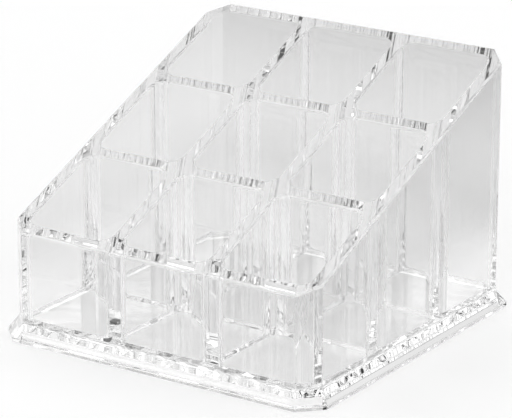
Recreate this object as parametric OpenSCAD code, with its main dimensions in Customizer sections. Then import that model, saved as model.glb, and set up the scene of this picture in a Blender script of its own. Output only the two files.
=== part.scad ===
// Clear vanity organizer: open upright cells under a sloping rim, standing on a bevelled base plate.
// The origin is at the middle of the plate's underside, the front faces -Y and +Z is up.

/* [Cell body] */
// Width of the cell body, left to right
body_w = 89; // [70:0.5:200]
// Depth of the cell body, front to back
body_d = 91; // [70:0.5:200]
// Height of the rim at the front face, above the table
rim_front_h = 27.8; // [15:0.2:60]
// Height of the rim at the back face, above the table
rim_back_h = 66.1; // [30:0.2:120]
// Flat across each upright outer corner, measured along one side
body_chamfer = 4.7; // [1:0.1:7]
// Thickness of the four outer walls
wall_t = 3.6; // [3:0.1:6]

/* [Cells] */
// Number of cells from left to right
cell_columns = 3; // [1:1:5]
// Number of cells from front to back
cell_rows = 3; // [1:1:5]
// Thickness of the dividers between the cells
divider_t = 3.5; // [1.5:0.1:6]
// Radius of the upright corners inside each cell
cell_corner_r = 3; // [0.5:0.1:6]

/* [Base plate] */
// Height of the plate's top face, where the cell body stands
plate_t = 4.5; // [3:0.1:10]
// Height of the plain upright edge at the plate's foot
plate_edge_h = 1; // [0.5:0.1:2.5]
// How far the plate's foot stands out past the sides of the cell body
plate_overhang = 2.4; // [1:0.1:8]
// How far the plate's foot stands out past the corner flats of the cell body
plate_corner_overhang = 2.8; // [1:0.1:8]
// Height of the raised pads that fill the lower ends of the cells
pad_h = 0.5; // [0.2:0.1:3]
// Clearance between a raised pad and the cell walls round it
pad_clearance = 0.1; // [0.05:0.05:0.5]
// Height of the shallow hollow in the plate's underside
hollow_h = 2.1; // [0.5:0.1:2.4]
// How far the hollow's outline lies inside the outline of the cell body
hollow_inset = 0.2; // [0.1:0.1:1.5]

/* [Hidden] */

// Clear plastic with a faint grey cast
clear_colour = [0.92, 0.94, 0.95, 0.4];
// Facets on a full circle
$fn = 64;
// Overrun of every cut past the face that it goes through
cut_over = 1;
// The corner flats lie at this angle to the sides
corner_angle = 45;

cell_w = (body_w - 2 * wall_t - (cell_columns - 1) * divider_t) / cell_columns;
cell_d = (body_d - 2 * wall_t - (cell_rows - 1) * divider_t) / cell_rows;
// The corner radius is limited by the smaller side of a cell
corner_limit_share = 0.45;
cell_r = min(cell_corner_r, corner_limit_share * min(cell_w, cell_d));
rim_slope = (rim_back_h - rim_front_h) / body_d;

// Distance from the middle to a corner flat of the cell body, square to the flat
corner_reach = ((body_w + body_d) / 2 - body_chamfer) * cos(corner_angle);

// Height of the rim plane at a distance y behind the middle
function rim_h(y) = rim_front_h + rim_slope * (y + body_d / 2);
function cell_x(column) = -body_w / 2 + wall_t + cell_w / 2 + column * (cell_w + divider_t);
function cell_y(row) = -body_d / 2 + wall_t + cell_d / 2 + row * (cell_d + divider_t);

// Rectangle with true round corners
module round_cornered(w, d, r) {
    square([w - 2 * r, d], center = true);
    square([w, d - 2 * r], center = true);
    for (x = [-1, 1], y = [-1, 1]) {
        translate([x * (w / 2 - r), y * (d / 2 - r)])
            circle(r);
    }
}

// Rectangle with a flat across each corner
module flat_cornered(w, d, flat) {
    x = w / 2;
    y = d / 2;
    polygon([
        [-x, -y + flat], [-x + flat, -y], [x - flat, -y], [x, -y + flat],
        [x, y - flat], [x - flat, y], [-x + flat, y], [-x, y - flat]
    ]);
}

// Draws its children once in each cell's place
module each_cell() {
    for (column = [0 : cell_columns - 1], row = [0 : cell_rows - 1]) {
        translate([cell_x(column), cell_y(row), 0])
            children();
    }
}

// Wedge under the rim plane, as wide as the body and a little deeper
module under_rim() {
    y = body_d / 2 + cut_over;
    rotate([90, 0, 90])
        linear_extrude(body_w + 2 * cut_over, center = true)
            polygon([[-y, plate_t], [y, plate_t], [y, rim_h(y)], [-y, rim_h(-y)]]);
}

// Outer walls and dividers, open at both ends, standing on the plate
module cell_body() {
    color(clear_colour)
        difference() {
            intersection() {
                linear_extrude(rim_back_h + cut_over)
                    flat_cornered(body_w, body_d, body_chamfer);
                under_rim();
            }
            translate([0, 0, plate_t - cut_over])
                each_cell()
                    linear_extrude(rim_back_h - plate_t + 2 * cut_over)
                        round_cornered(cell_w, cell_d, cell_r);
        }
}

// Long bar with the plate's edge profile on both sides: an upright edge, then the bevel up to the body
module bevelled_bar(top_reach, overhang) {
    foot = top_reach + overhang;
    bar_length = body_w + body_d;
    rotate([90, 0, 0])
        linear_extrude(bar_length, center = true)
            polygon([
                [-foot, 0], [foot, 0], [foot, plate_edge_h],
                [top_reach, plate_t], [-top_reach, plate_t], [-foot, plate_edge_h]
            ]);
}

// Plate whose edge profile runs round all eight sides
module bevelled_plate() {
    intersection() {
        bevelled_bar(body_w / 2, plate_overhang);
        rotate([0, 0, 90])
            bevelled_bar(body_d / 2, plate_overhang);
        rotate([0, 0, corner_angle])
            bevelled_bar(corner_reach, plate_corner_overhang);
        rotate([0, 0, -corner_angle])
            bevelled_bar(corner_reach, plate_corner_overhang);
    }
}

// Shallow octagonal hollow in the underside, which leaves a ring to stand on
module underside_hollow() {
    hollow_w = body_w - 2 * hollow_inset;
    hollow_d = body_d - 2 * hollow_inset;
    hollow_flat = hollow_w / 2 + hollow_d / 2 - (corner_reach - hollow_inset) / cos(corner_angle);
    translate([0, 0, -cut_over])
        linear_extrude(hollow_h + cut_over)
            flat_cornered(hollow_w, hollow_d, hollow_flat);
}

// Bevelled plate with one raised pad for each cell
module base_plate() {
    pad_w = cell_w - 2 * pad_clearance;
    pad_d = cell_d - 2 * pad_clearance;
    color(clear_colour)
        difference() {
            union() {
                bevelled_plate();
                each_cell()
                    translate([0, 0, plate_t / 2 + hollow_h / 2])
                        linear_extrude(plate_t / 2 - hollow_h / 2 + pad_h)
                            round_cornered(pad_w, pad_d, cell_r - pad_clearance);
            }
            underside_hollow();
        }
}

cell_body();
base_plate();
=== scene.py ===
import math

import bpy
from mathutils import Euler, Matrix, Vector, geometry


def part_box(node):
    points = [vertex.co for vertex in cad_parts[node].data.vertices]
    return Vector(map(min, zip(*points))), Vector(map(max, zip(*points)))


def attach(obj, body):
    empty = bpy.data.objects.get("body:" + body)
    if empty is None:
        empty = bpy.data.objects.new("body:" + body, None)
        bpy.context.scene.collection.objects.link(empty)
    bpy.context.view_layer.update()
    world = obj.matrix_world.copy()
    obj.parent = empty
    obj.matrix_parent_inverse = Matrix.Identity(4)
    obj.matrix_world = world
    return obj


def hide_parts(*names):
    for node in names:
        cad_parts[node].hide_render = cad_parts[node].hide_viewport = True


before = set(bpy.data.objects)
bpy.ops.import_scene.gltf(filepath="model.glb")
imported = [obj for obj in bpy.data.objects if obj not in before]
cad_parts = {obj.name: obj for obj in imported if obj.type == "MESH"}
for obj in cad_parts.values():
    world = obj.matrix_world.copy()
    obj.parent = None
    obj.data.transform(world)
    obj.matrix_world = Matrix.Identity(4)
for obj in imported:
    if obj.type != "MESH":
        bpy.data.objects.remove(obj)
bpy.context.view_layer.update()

metre = 1.0
mm = 0.001
root2 = math.sqrt(2)
halfTurn = 180  # degrees
fullTurn = 360

# Camera, matched to the photograph

cameraSettings = {
    "framePixels": 512,  # width of the photograph
    "azimuth": 33.689,  # degrees round the object, 0 looks along +Y
    "elevation": 18.259,  # degrees above the table
    "roll": 0.121,  # degrees
    "distance": 760.3 * mm,
    "aimHeight": 30 * mm,
    "focalPixels": 3064.9,  # focal length in pixels of the photograph
    "centreOffset": (4.54, -4.36),  # pixels from the frame's middle to the lens's axis, right and down
    "sensorWidth": 36.0,  # in millimetres, as the camera takes it
    "clipStart": 0.01 * metre,
    "clipEnd": 50 * metre,
}


def makeCamera(settings):
    azimuth = math.radians(settings["azimuth"])
    elevation = math.radians(settings["elevation"])
    towardCamera = Vector((
        math.sin(azimuth) * math.cos(elevation),
        -math.cos(azimuth) * math.cos(elevation),
        math.sin(elevation),
    ))
    right, below = settings["centreOffset"]
    data = bpy.data.cameras.new("photoCamera")
    data.sensor_width = settings["sensorWidth"]
    data.lens = settings["focalPixels"] / settings["framePixels"] * settings["sensorWidth"]
    data.shift_x = -right / settings["framePixels"]
    data.shift_y = below / settings["framePixels"]
    data.clip_start = settings["clipStart"]
    data.clip_end = settings["clipEnd"]
    camera = bpy.data.objects.new("photoCamera", data)
    bpy.context.scene.collection.objects.link(camera)
    camera.location = Vector((0, 0, settings["aimHeight"])) + towardCamera * settings["distance"]
    turn = (-towardCamera).to_track_quat("-Z", "Y")
    roll = Euler((0, 0, math.radians(settings["roll"]))).to_quaternion()
    camera.rotation_mode = "QUATERNION"
    camera.rotation_quaternion = turn @ roll
    bpy.context.scene.camera = camera


# Mesh building: points, faces, one normal for each corner of a face, one material slot for each face

plasticSlot = 0
cementSlot = 1
up = Vector((0, 0, 1))
down = Vector((0, 0, -1))
capKind = 0  # the triangulation covers the whole outline, and cap leaves the holes out itself
capTolerance = 1e-9 * metre


class MeshMaker:
    def __init__(self):
        self.points = []
        self.faces = []
        self.normals = []
        self.slots = []

    def addFace(self, corners, normals, slot):
        self.faces.append(corners)
        self.normals.append(normals)
        self.slots.append(slot)

    # one closed row of points over an outline, with the height that goes with each y
    def ring(self, loop, height):
        first = len(self.points)
        for (x, y), _ in loop:
            self.points.append((x, y, height(y)))
        return list(range(first, len(self.points)))

    # band of faces between two rings of as many points
    def strip(self, lower, upper, lowerNormals, upperNormals, slot=plasticSlot, outward=True):
        for here in range(len(lower)):
            after = (here + 1) % len(lower)
            corners = [lower[here], lower[after], upper[after], upper[here]]
            normals = [lowerNormals[here], lowerNormals[after], upperNormals[after], upperNormals[here]]
            if not outward:
                corners.reverse()
                normals.reverse()
            self.addFace(corners, normals, slot)

    # flat region between an outer ring, which comes first, and the holes in it
    def cap(self, rings, normal, slot=plasticSlot):
        order = [index for ring in rings for index in ring]
        owner = {index: number for number, ring in enumerate(rings) for index in ring}
        place = {index: number for number, index in enumerate(order)}
        flat = [Vector(self.points[index][:2]) for index in order]
        edges = []
        for ring in rings:
            for here, after in zip(ring, ring[1:] + ring[:1]):
                edges.append((place[here], place[after]))
        _, _, triangles, origins, _, _ = geometry.delaunay_2d_cdt(flat, edges, [], capKind, capTolerance)
        for triangle in triangles:
            corners = [order[origins[corner][0]] for corner in triangle]
            owners = {owner[corner] for corner in corners}
            # a triangle with all its corners on one hole's ring lies in that hole
            if len(owners) == 1 and owners != {0}:
                continue
            first, second, third = (Vector(self.points[corner]) for corner in corners)
            if (second - first).cross(third - first).dot(normal) < 0:
                corners.reverse()
            self.addFace(corners, [normal] * len(corners), slot)

    def build(self, name, materials):
        mesh = bpy.data.meshes.new(name)
        mesh.from_pydata(self.points, [], self.faces)
        for material in materials:
            mesh.materials.append(material)
        for face, slot in zip(mesh.polygons, self.slots):
            face.material_index = slot
            face.use_smooth = True
        mesh.normals_split_custom_set([tuple(normal) for normals in self.normals for normal in normals])
        mesh.validate()
        mesh.update()
        piece = bpy.data.objects.new(name, mesh)
        bpy.context.scene.collection.objects.link(piece)
        return piece


# Outlines: convex corners, in order round the outside

def octagon(halfX, halfY, flat):
    return [
        (-halfX + flat, -halfY), (halfX - flat, -halfY), (halfX, -halfY + flat), (halfX, halfY - flat),
        (halfX - flat, halfY), (-halfX + flat, halfY), (-halfX, halfY - flat), (-halfX, -halfY + flat),
    ]


def rectangle(centre, halfX, halfY):
    x, y = centre
    return [
        (x - halfX, y - halfY), (x + halfX, y - halfY), (x + halfX, y + halfY), (x - halfX, y + halfY),
    ]


# closed loop of points and outward normals round an outline, with round corners
def roundedLoop(corners, radius, steps):
    loop = []
    count = len(corners)
    for number in range(count):
        before, here, after = (Vector(corners[(number + move) % count]) for move in (-1, 0, 1))
        arriving = (here - before).normalized()
        leaving = (after - here).normalized()
        startAngle = math.atan2(-arriving.x, arriving.y)
        turn = math.atan2(arriving.x * leaving.y - arriving.y * leaving.x, arriving.dot(leaving))
        back = radius * math.tan(turn / 2)
        startNormal = Vector((arriving.y, -arriving.x))
        centre = here - arriving * back - startNormal * radius
        for step in range(steps + 1):
            angle = startAngle + turn * step / steps
            normal = Vector((math.cos(angle), math.sin(angle)))
            loop.append((tuple(centre + normal * radius), tuple(normal)))
    return loop


# upright walls have level normals, which point into the opening on a hole's wall
def sideNormals(loop, hole):
    side = -1 if hole else 1
    return [Vector((x * side, y * side, 0)) for _, (x, y) in loop]


# Cell body: four outer walls and the dividers, open at both ends

bodyLow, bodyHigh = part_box("cell_body")

cellBody = {
    "halfWidth": bodyHigh.x,
    "halfDepth": bodyHigh.y,
    "bottom": bodyLow.z,
    "rimBack": bodyHigh.z,
    "rimFront": 27.8 * mm,
    "cornerFlat": 4.7 * mm,
    "wall": 3.6 * mm,
    "divider": 3.5 * mm,
    "columns": 3,
    "rows": 3,
    "cellRadius": 3 * mm,
    "cellSteps": 14,  # facets round one cell corner
    "outerEdge": 0.35 * mm,  # rounding of the upright outer edges
    "outerRim": 0.7 * mm,  # rounding of the rim's outer edge
    "cellRim": 0.6 * mm,  # rounding of each cell's mouth
    "edgeSteps": 5,
}

rimSlope = (cellBody["rimBack"] - cellBody["rimFront"]) / (2 * cellBody["halfDepth"])
rimNormal = Vector((0, -rimSlope, 1)).normalized()


def rimHeight(y):
    return cellBody["rimFront"] + rimSlope * (y + cellBody["halfDepth"])


def cellSize():
    sizes = cellBody
    width = 2 * sizes["halfWidth"] - 2 * sizes["wall"] - (sizes["columns"] - 1) * sizes["divider"]
    depth = 2 * sizes["halfDepth"] - 2 * sizes["wall"] - (sizes["rows"] - 1) * sizes["divider"]
    return width / sizes["columns"], depth / sizes["rows"]


def cellCentres():
    sizes = cellBody
    width, depth = cellSize()
    centres = []
    for row in range(sizes["rows"]):
        for column in range(sizes["columns"]):
            x = -sizes["halfWidth"] + sizes["wall"] + width / 2 + column * (width + sizes["divider"])
            y = -sizes["halfDepth"] + sizes["wall"] + depth / 2 + row * (depth + sizes["divider"])
            centres.append((x, y))
    return centres


# outline of the body, drawn in by inset
def bodyLoop(inset):
    sizes = cellBody
    flat = sizes["cornerFlat"] - inset * (2 - root2)  # all eight sides move in alike
    corners = octagon(sizes["halfWidth"] - inset, sizes["halfDepth"] - inset, flat)
    return roundedLoop(corners, sizes["outerEdge"], sizes["edgeSteps"])


# outline of one cell, let out by outset
def cellLoop(centre, outset):
    sizes = cellBody
    width, depth = cellSize()
    corners = rectangle(centre, width / 2 + outset, depth / 2 + outset)
    return roundedLoop(corners, sizes["cellRadius"] + outset, sizes["cellSteps"])


# normals on a rounded edge between an upright wall and the rim plane, angle 0 at the wall
def edgeNormals(loop, angle, hole):
    normals = []
    for wallNormal in sideNormals(loop, hole):
        along = Vector((-wallNormal.y, wallNormal.x, 0))
        along.z = rimSlope * along.y
        over = -wallNormal * math.sin(angle)
        over.z = rimSlope * over.y + math.cos(angle)
        normals.append(along.cross(over).normalized())
    return normals


# one wall from the plate up to its rounded edge at the rim; gives the lowest and the highest ring
def addWall(maker, loopAt, radius, hole):
    sizes = cellBody
    steps = sizes["edgeSteps"]
    foot = maker.ring(loopAt(0), lambda y: sizes["bottom"])
    lower, lowerNormals = foot, sideNormals(loopAt(0), hole)
    if not hole:
        # the plate's foot fillet is bonded to this lowest band
        filletTop = maker.ring(loopAt(0), lambda y: sizes["bottom"] + basePlate["footFillet"])
        maker.strip(lower, filletTop, lowerNormals, lowerNormals, cementSlot)
        lower = filletTop
    for step in range(steps + 1):
        angle = math.pi / 2 * step / steps
        move = radius * (1 - math.cos(angle))
        drop = radius * (1 - math.sin(angle))
        loop = loopAt(move)
        upper = maker.ring(loop, lambda y: rimHeight(y) - drop)
        upperNormals = edgeNormals(loop, angle, hole) if step else sideNormals(loop, hole)
        maker.strip(lower, upper, lowerNormals, upperNormals, plasticSlot, not hole)
        lower, lowerNormals = upper, upperNormals
    return foot, lower


def makeCellBody(plastic, cement):
    maker = MeshMaker()
    foot, top = addWall(maker, bodyLoop, cellBody["outerRim"], False)
    footRings, rimRings = [foot], [top]
    for centre in cellCentres():
        foot, top = addWall(maker, lambda outset: cellLoop(centre, outset), cellBody["cellRim"], True)
        footRings.append(foot)
        rimRings.append(top)
    maker.cap(rimRings, rimNormal)
    maker.cap(footRings, down, cementSlot)
    return maker.build("cellBody", [plastic, cement])


# Base plate: bevelled, with a hollow underneath and a low pad in each cell

plateLow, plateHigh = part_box("base_plate")

basePlate = {
    "bottom": plateLow.z,
    "top": bodyLow.z,
    "padTop": plateHigh.z,
    "overhang": plateHigh.x - bodyHigh.x,
    "cornerOverhang": 2.8 * mm,
    "edgeHeight": 1.0 * mm,
    "footEdge": 0.2 * mm,  # rounding at the table
    "bevelEdge": 0.15 * mm,  # rounding between the upright edge and the bevel
    "footFillet": 0.5 * mm,  # hollow curve where the bevel runs up into the wall
    "padClearance": 0.1 * mm,
    "padEdge": 0.1 * mm,
    "hollowInset": 0.2 * mm,  # how far the underside's hollow lies inside the body's outline
    "hollowHeight": 2.1 * mm,
    "edgeSteps": 5,
}


# outline of the plate where it stands out past the body by outset
def plateLoop(outset):
    sizes = cellBody
    share = outset / basePlate["overhang"]
    halfX = sizes["halfWidth"] + outset
    halfY = sizes["halfDepth"] + outset
    reach = (sizes["halfWidth"] + sizes["halfDepth"] - sizes["cornerFlat"]) / root2
    reach += basePlate["cornerOverhang"] * share
    flat = halfX + halfY - reach * root2
    return roundedLoop(octagon(halfX, halfY, flat), sizes["outerEdge"], sizes["edgeSteps"])


# places and normals along a profile of (outset, height) corners, with each inner corner rounded
def roundedProfile(corners, rounds, steps):
    points = []
    for number, corner in enumerate(corners):
        here = Vector(corner)
        if number in (0, len(corners) - 1):
            run = Vector(corners[1]) - here if number == 0 else here - Vector(corners[-2])
            points.append((here, Vector((run.y, -run.x)).normalized()))
            continue
        arriving = (here - Vector(corners[number - 1])).normalized()
        leaving = (Vector(corners[number + 1]) - here).normalized()
        start = here - arriving * rounds[number]
        end = here + leaving * rounds[number]
        for step in range(steps + 1):
            share = step / steps
            # a curve of the second degree, which leaves both sides without a kink
            point = start * (1 - share) ** 2 + here * (2 * share * (1 - share)) + end * share ** 2
            run = (here - start) * (1 - share) + (end - here) * share
            points.append((point, Vector((run.y, -run.x)).normalized()))
    return points


# bands along a profile whose outline at each outset comes from loopAt; gives the lowest and highest ring
def addProfile(maker, profile, loopAt):
    rings = []
    for point, normal in profile:
        loop = loopAt(point.x)
        ring = maker.ring(loop, lambda y: point.y)
        normals = [Vector((x * normal.x, y * normal.x, normal.y)) for _, (x, y) in loop]
        rings.append((ring, normals))
    for (lower, lowerNormals), (upper, upperNormals) in zip(rings, rings[1:]):
        maker.strip(lower, upper, lowerNormals, upperNormals)
    return rings[0][0], rings[-1][0]


def addHollow(maker, foot):
    sizes = basePlate
    loop = bodyLoop(sizes["hollowInset"])
    hollowFoot = maker.ring(loop, lambda y: sizes["bottom"])
    hollowTop = maker.ring(loop, lambda y: sizes["bottom"] + sizes["hollowHeight"])
    inward = sideNormals(loop, True)
    maker.cap([foot, hollowFoot], down)
    maker.strip(hollowFoot, hollowTop, inward, inward, plasticSlot, False)
    maker.cap([hollowTop], down)


# one pad and the narrow gap round it; gives the gap's outer ring
def addPad(maker, centre):
    sizes = basePlate
    profile = roundedProfile(
        [
            (-sizes["padClearance"], sizes["top"]),
            (-sizes["padClearance"], sizes["padTop"]),
            (-sizes["padClearance"] - 2 * sizes["padEdge"], sizes["padTop"]),
        ],
        [0, sizes["padEdge"], 0],
        sizes["edgeSteps"],
    )
    gapEdge = maker.ring(cellLoop(centre, 0), lambda y: sizes["top"])
    padFoot, padTop = addProfile(maker, profile, lambda outset: cellLoop(centre, outset))
    ups = [up] * len(gapEdge)
    maker.strip(padFoot, gapEdge, ups, ups, plasticSlot, False)
    maker.cap([padTop], up)
    return gapEdge


def makeBasePlate(plastic, cement):
    sizes = basePlate
    maker = MeshMaker()
    profile = roundedProfile(
        [
            (sizes["overhang"] - 2 * sizes["footEdge"], sizes["bottom"]),
            (sizes["overhang"], sizes["bottom"]),
            (sizes["overhang"], sizes["bottom"] + sizes["edgeHeight"]),
            (0, sizes["top"]),
            (0, sizes["top"] + sizes["footFillet"]),
        ],
        [0, sizes["footEdge"], sizes["bevelEdge"], sizes["footFillet"], 0],
        sizes["edgeSteps"],
    )
    profile.pop()  # the fillet already ends where the last corner lies
    foot, filletTop = addProfile(maker, profile, plateLoop)
    addHollow(maker, foot)
    seatLoop = bodyLoop(0)
    seatEdge = maker.ring(seatLoop, lambda y: sizes["top"])
    towardBody = sideNormals(seatLoop, True)
    maker.strip(seatEdge, filletTop, towardBody, towardBody, cementSlot, False)
    gapEdges = [addPad(maker, centre) for centre in cellCentres()]
    maker.cap([seatEdge] + gapEdges, up, cementSlot)
    return maker.build("basePlate", [plastic, cement])


# Nodes: each call adds one and gives its output, and a source is a fixed value or another node's output

class NodeMaker:
    def __init__(self, tree):
        self.nodes = tree.nodes
        self.links = tree.links
        self.nodes.clear()

    def feed(self, socket, source):
        if isinstance(source, bpy.types.NodeSocket):
            self.links.new(source, socket)
        else:
            socket.default_value = source

    def add(self, kind, sources=None):
        node = self.nodes.new(kind)
        for name, source in (sources or {}).items():
            self.feed(node.inputs[name], source)
        return node

    def calculate(self, operation, *sources):
        node = self.add("ShaderNodeMath")
        node.operation = operation
        for number, source in enumerate(sources):
            self.feed(node.inputs[number], source)
        return node.outputs[0]

    # takes the sources together with an operation that has two inputs
    def gather(self, operation, sources):
        total = sources[0]
        for source in sources[1:]:
            total = self.calculate(operation, total, source)
        return total

    # moves a value from one range into another, and holds it at the ends
    def fit(self, source, fromRange, toRange=(0, 1)):
        node = self.add("ShaderNodeMapRange", {
            "Value": source,
            "From Min": fromRange[0],
            "From Max": fromRange[1],
            "To Min": toRange[0],
            "To Max": toRange[1],
        })
        return node.outputs[0]

    # grey for each place from 0 to 1, given as (place, grey) stops
    def ramp(self, source, stops, hardEdges=False):
        node = self.add("ShaderNodeValToRGB", {"Fac": source})
        elements = node.color_ramp.elements
        if hardEdges:
            node.color_ramp.interpolation = "CONSTANT"
        while len(elements) > 1:
            elements.remove(elements[-1])
        for number, (place, grey) in enumerate(stops):
            element = elements.new(place) if number else elements[0]
            element.position = place
            element.color = (grey, grey, grey, 1)
        return node.outputs[0]

    # passes from the first colour to the second, each a fixed grey or an output
    def mix(self, factor, first, second):
        node = self.add("ShaderNodeMix")
        node.data_type = "RGBA"
        sockets = [socket for socket in node.inputs if socket.enabled]
        for socket, source in zip(sockets, (factor, first, second)):
            if isinstance(source, float):
                source = (source, source, source, 1)
            self.feed(socket, source)
        return [socket for socket in node.outputs if socket.enabled][0]

    def noise(self, source, scale, detail, roughness):
        node = self.add("ShaderNodeTexNoise", {
            "Vector": source,
            "Scale": scale,
            "Detail": detail,
            "Roughness": roughness,
        })
        return node.outputs["Fac"]


# Materials

clearPlastic = {
    # painted shade on the outer faces: the grey that an outer face lets through, darker towards the top,
    # by height as a share of the tallest point
    "paintedShadeTints": [
        (0.0, 0.93),
        (0.2, 0.93),
        (0.4, 0.63),
        (0.6, 0.66),
        (0.8, 0.545),
        (0.95, 0.43),
    ],
    "sidePaintedShadeShare": 0.75,  # how far the sides take that painted shade, next to the back
    "frontPaintedShadeShare": 0.1,
    # the same painted shade, by height, for the faces inside
    "insidePaintedShadeTints": [
        (0.0, 0.98),
        (0.2, 0.97),
        (0.34, 0.925),
        (0.5, 0.955),
        (0.7, 0.98),
    ],
    "rimPaintedShade": 0.82,  # painted shade on the rims: the grey they let through
    "rimLean": [(0.85, 0), (0.9, 1), (0.94, 1), (0.96, 0)],  # upright part of the normal, 1 on the rims, where the rims' painted shade lies
    "shellShares": (0.6, 0.4),  # depths in an outer wall, next to its thickness, where the painted shade changes
    "ior": 1.49,
    "roughness": 0.0,
    "waveScale": 60.0,  # moulding waves on the walls, per metre
    "waveStretch": 0.05,  # the waves are longer up the walls
    "waveHeight": 0.016 * mm,
    "waveDetail": 3.0,
    "waveRoughness": 0.7,
    "uprightLean": (0.1, 0.3),  # upright part of the normal at which the walls' painted shade and waves fade
    "markScale": 90.0,  # flow marks on the cell floors, per metre
    "markHeight": 0.1 * mm,
    "markDetail": 1.0,
    "markRoughness": 0.5,
    "levelLean": (0.97, 0.99),  # upright part of the normal from which a face counts as level
}


# share of the outer painted shade: 1 on the back wall's outer face and less on the other outer faces, down
# to 0 on the faces inside
def outerShadeShare(maker, place):
    looks = clearPlastic
    depths = [share * cellBody["wall"] for share in looks["shellShares"]]

    def shellOf(reach):
        return [reach - depth for depth in depths]

    x, y = place.outputs["X"], place.outputs["Y"]
    sideways = maker.calculate("ABSOLUTE", x)
    cornerways = maker.calculate("ADD", sideways, maker.calculate("ABSOLUTE", y))
    sideShell = shellOf(cellBody["halfWidth"])
    backShell = shellOf(cellBody["halfDepth"])
    frontShell = [-reach for reach in backShell]
    cornerShell = shellOf(cellBody["halfWidth"] + cellBody["halfDepth"] - cellBody["cornerFlat"])
    side = maker.fit(sideways, sideShell, (0, looks["sidePaintedShadeShare"]))
    back = maker.fit(y, backShell)
    front = maker.fit(y, frontShell, (0, looks["frontPaintedShadeShare"]))
    corner = maker.fit(cornerways, cornerShell, (0, looks["sidePaintedShadeShare"]))
    return maker.gather("MAXIMUM", [side, back, front, corner])


# painted shade in the plastic's base colour: darker towards the top, most on the back's outer face, and
# grey on the rims
def plasticPaintedShade(maker, place, lean):
    looks = clearPlastic
    rise = maker.fit(place.outputs["Z"], (0, cellBody["rimBack"]))
    upright = maker.fit(lean, looks["uprightLean"], (1, 0))
    outer = maker.calculate("MULTIPLY", outerShadeShare(maker, place), upright)
    onRim = maker.ramp(lean, looks["rimLean"])
    inside = maker.mix(onRim, maker.ramp(rise, looks["insidePaintedShadeTints"]), looks["rimPaintedShade"])
    return maker.mix(outer, inside, maker.ramp(rise, looks["paintedShadeTints"]))


# the heights are in metres, so the bumps' own distance is one metre
def addBump(maker, height, before=None):
    sources = {"Distance": metre, "Height": height}
    if before is not None:
        sources["Normal"] = before
    return maker.add("ShaderNodeBump", sources).outputs["Normal"]


# long waves up the walls, and faint flow marks on the cell floors
def plasticSurface(maker, coordinate, place, lean):
    looks = clearPlastic
    stretch = maker.add("ShaderNodeMapping", {
        "Vector": coordinate,
        "Scale": (1, 1, looks["waveStretch"]),
    })
    waves = maker.noise(
        stretch.outputs["Vector"], looks["waveScale"], looks["waveDetail"], looks["waveRoughness"]
    )
    waveHeight = maker.fit(lean, looks["uprightLean"], (looks["waveHeight"], 0))
    marks = maker.noise(coordinate, looks["markScale"], looks["markDetail"], looks["markRoughness"])
    level = maker.fit(lean, looks["levelLean"], (0, looks["markHeight"]))
    # the cell floors are the only level faces above the plate's own top
    floorRise = (basePlate["top"] + basePlate["padEdge"], basePlate["padTop"] - basePlate["padEdge"])
    raised = maker.fit(place.outputs["Z"], floorRise)
    markHeight = maker.calculate("MULTIPLY", level, raised)
    walls = addBump(maker, maker.calculate("MULTIPLY", waves, waveHeight))
    return addBump(maker, maker.calculate("MULTIPLY", marks, markHeight), walls)


def newMaterial(name):
    material = bpy.data.materials.new(name)
    material.use_nodes = True
    return material, NodeMaker(material.node_tree)


def makeClearPlastic(name):
    looks = clearPlastic
    material, maker = newMaterial(name)
    coordinate = maker.add("ShaderNodeTexCoord").outputs["Object"]
    place = maker.add("ShaderNodeSeparateXYZ", {"Vector": coordinate})
    normal = maker.add("ShaderNodeNewGeometry").outputs["True Normal"]
    facing = maker.add("ShaderNodeSeparateXYZ", {"Vector": normal})
    lean = maker.calculate("ABSOLUTE", facing.outputs["Z"])
    shader = maker.add("ShaderNodeBsdfPrincipled", {
        # the base colour carries the painted shade
        "Base Color": plasticPaintedShade(maker, place, lean),
        "Normal": plasticSurface(maker, coordinate, place, lean),
        "Roughness": looks["roughness"],
        "IOR": looks["ior"],
        "Transmission Weight": 1.0,
    })
    maker.add("ShaderNodeOutputMaterial", {"Surface": shader.outputs[0]})
    return material


# bonded faces pass light straight on, as cement with the plastic's own index does
def makeCement(name):
    material, maker = newMaterial(name)
    through = maker.add("ShaderNodeBsdfTransparent")
    maker.add("ShaderNodeOutputMaterial", {"Surface": through.outputs[0]})
    return material


# Floor

floorSettings = {
    "size": 60 * metre,
    "colour": (1.0, 1.0, 1.0, 1),
    "drop": 0.02 * mm,  # the plate's underside and the floor don't share one plane
}


def makeFloor():
    half = floorSettings["size"] / 2
    z = plateLow.z - floorSettings["drop"]
    corners = [(x, y, z) for x, y in rectangle((0, 0), half, half)]
    mesh = bpy.data.meshes.new("floor")
    mesh.from_pydata(corners, [], [range(len(corners))])
    floor = bpy.data.objects.new("floor", mesh)
    bpy.context.scene.collection.objects.link(floor)
    material, maker = newMaterial("paleFloor")
    shader = maker.add("ShaderNodeBsdfDiffuse", {"Color": floorSettings["colour"]})
    maker.add("ShaderNodeOutputMaterial", {"Surface": shader.outputs[0]})
    mesh.materials.append(material)


# Light: a studio tent of belts of panels, one above the other, all of it in the world;
# azimuth is 0 in front of the object, 90 at its right and 180 behind it

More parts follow.
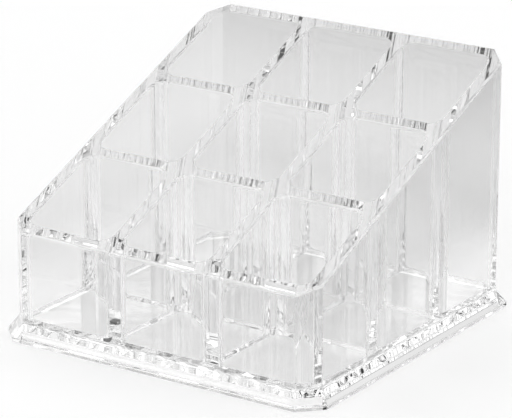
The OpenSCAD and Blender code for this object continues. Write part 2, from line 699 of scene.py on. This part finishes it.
worldSettings = {
    # elevation of the belt's middle, then azimuth and light of its panels
    "belts": [
        (2, [(0, 1.0)]),
        (8, [
            (0, 1.55), (45, 1.9), (90, 1.35), (135, 0.8),
            (180, 0.8), (225, 0.1), (270, 0.9), (315, 0.95),
        ]),
        (18, [
            (0, 1.7), (17, 0.7), (34, 1.2), (52, 1.8), (71, 0.9),
            (90, 0.75), (109, 0.9), (128, 0.5), (146, 0.5), (163, 0.15),
            (180, 0.15), (197, 0.02), (214, 0.2), (232, 1.0), (251, 0.3),
            (270, 0.35), (289, 0.2), (308, 1.6), (326, 0.4), (343, 1.5),
        ]),
        (33, [
            (0, 2.0), (30, 1.0), (60, 0.8), (90, 0.7), (120, 1.8), (150, 0.5),
            (180, 1.0), (210, 1.7), (240, 1.6), (270, 0.6), (300, 0.8), (330, 0.7),
        ]),
        (52, [
            (0, 0.35), (45, 0.4), (90, 0.55), (135, 1.6),
            (180, 1.2), (225, 1.5), (270, 0.9), (315, 0.05),
        ]),
        (76, [(0, 1.0)]),
    ],
    # soft boxes hung in the tent: from and to azimuth, from and to elevation, soft edge, light
    "softBoxes": [
        (288, 336, 36.9, 56, 1.0, 1.4),
        (206, 222, 14, 20.4, 0.6, 1.2),
        (27, 40, 18.5, 23, 0.6, 0.7),
        (140, 153, 18.5, 23, 0.6, 0.35),
    ],
}


# places in the world's ramps run from 0 to 1: once round, against the azimuth, or from the floor's side up
def turnPlace(azimuth):
    return 1 - azimuth / fullTurn


def risePlace(elevation):
    return elevation / halfTurn + 1 / 2


# light round one belt, where each panel is centred on its azimuth
def beltStops(panels, brightest):
    stops = [(0.0, panels[0][1] / brightest)]
    for number, (azimuth, light) in enumerate(panels):
        after = panels[number + 1][0] if number + 1 < len(panels) else fullTurn
        stops.append((turnPlace((azimuth + after) / 2), light / brightest))
    return sorted(stops)


# share of its light that a belt gives at each elevation
def heightStops(number):
    middles = [elevation for elevation, _ in worldSettings["belts"]]
    return [(risePlace(middle), 1.0 if other == number else 0.0) for other, middle in enumerate(middles)]


# 1 inside a soft box and 0 outside it
def softBoxShare(maker, turn, rise, azimuths, elevations, edge):
    turnFade = edge / fullTurn
    riseFade = edge / halfTurn
    sides = [
        (turn, turnPlace(azimuths[1]), turnFade),
        (turn, turnPlace(azimuths[0]), -turnFade),
        (rise, risePlace(elevations[0]), riseFade),
        (rise, risePlace(elevations[1]), -riseFade),
    ]
    fits = [maker.fit(source, (place - fade / 2, place + fade / 2)) for source, place, fade in sides]
    return maker.gather("MULTIPLY", fits)


def makeWorld():
    world = bpy.data.worlds.new("studio")
    bpy.context.scene.world = world
    world.use_nodes = True
    maker = NodeMaker(world.node_tree)
    coordinate = maker.add("ShaderNodeTexCoord").outputs["Generated"]
    direction = maker.add("ShaderNodeSeparateXYZ", {"Vector": coordinate})
    azimuth = maker.calculate("ARCTAN2", direction.outputs["X"], direction.outputs["Y"])
    elevation = maker.calculate("ARCSINE", direction.outputs["Z"])
    turn = maker.fit(azimuth, (-math.pi, math.pi))
    rise = maker.fit(elevation, (-math.pi / 2, math.pi / 2))
    brightest = max(light for _, panels in worldSettings["belts"] for _, light in panels)
    beltLights = []
    for number, (_, panels) in enumerate(worldSettings["belts"]):
        roundBelt = maker.ramp(turn, beltStops(panels, brightest), hardEdges=True)
        upBelt = maker.ramp(rise, heightStops(number))
        beltLights.append(maker.calculate("MULTIPLY", roundBelt, upBelt))
    total = maker.gather("ADD", beltLights)
    for fromAzimuth, toAzimuth, fromRise, toRise, edge, light in worldSettings["softBoxes"]:
        box = softBoxShare(maker, turn, rise, (fromAzimuth, toAzimuth), (fromRise, toRise), edge)
        total = maker.calculate("MULTIPLY_ADD", box, light / brightest, total)
    background = maker.add("ShaderNodeBackground", {"Color": total, "Strength": brightest})
    maker.add("ShaderNodeOutputWorld", {"Surface": background.outputs[0]})


lightSettings = {
    "bounces": 40,  # light crosses many clear walls before it ends
    "glossyBounces": 24,
    "cementBounces": 64,
    "floorBounces": 3,
    "glossyBlur": 0.0,  # keeps the light that the clear walls gather on the floor
}


def setUpLight():
    scene = bpy.context.scene
    scene.view_settings.view_transform = "Standard"
    cycles = scene.cycles
    cycles.max_bounces = lightSettings["bounces"]
    cycles.transmission_bounces = lightSettings["bounces"]
    cycles.glossy_bounces = lightSettings["glossyBounces"]
    cycles.transparent_max_bounces = lightSettings["cementBounces"]
    cycles.diffuse_bounces = lightSettings["floorBounces"]
    cycles.use_denoising = True
    cycles.blur_glossy = lightSettings["glossyBlur"]


makeCamera(cameraSettings)
print("camera in place")
setUpLight()
makeWorld()
makeFloor()
print("stage in place")

plasticBody = makeClearPlastic("clearBody")
plasticPlate = makeClearPlastic("clearPlate")
cementLine = makeCement("clearCement")
print("materials made")

body = makeCellBody(plasticBody, cementLine)
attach(body, "root")
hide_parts("cell_body")
print("cell body made", len(body.data.polygons), "faces")

plate = makeBasePlate(plasticPlate, cementLine)
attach(plate, "root")
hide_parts("base_plate")
print("base plate made", len(plate.data.polygons), "faces")
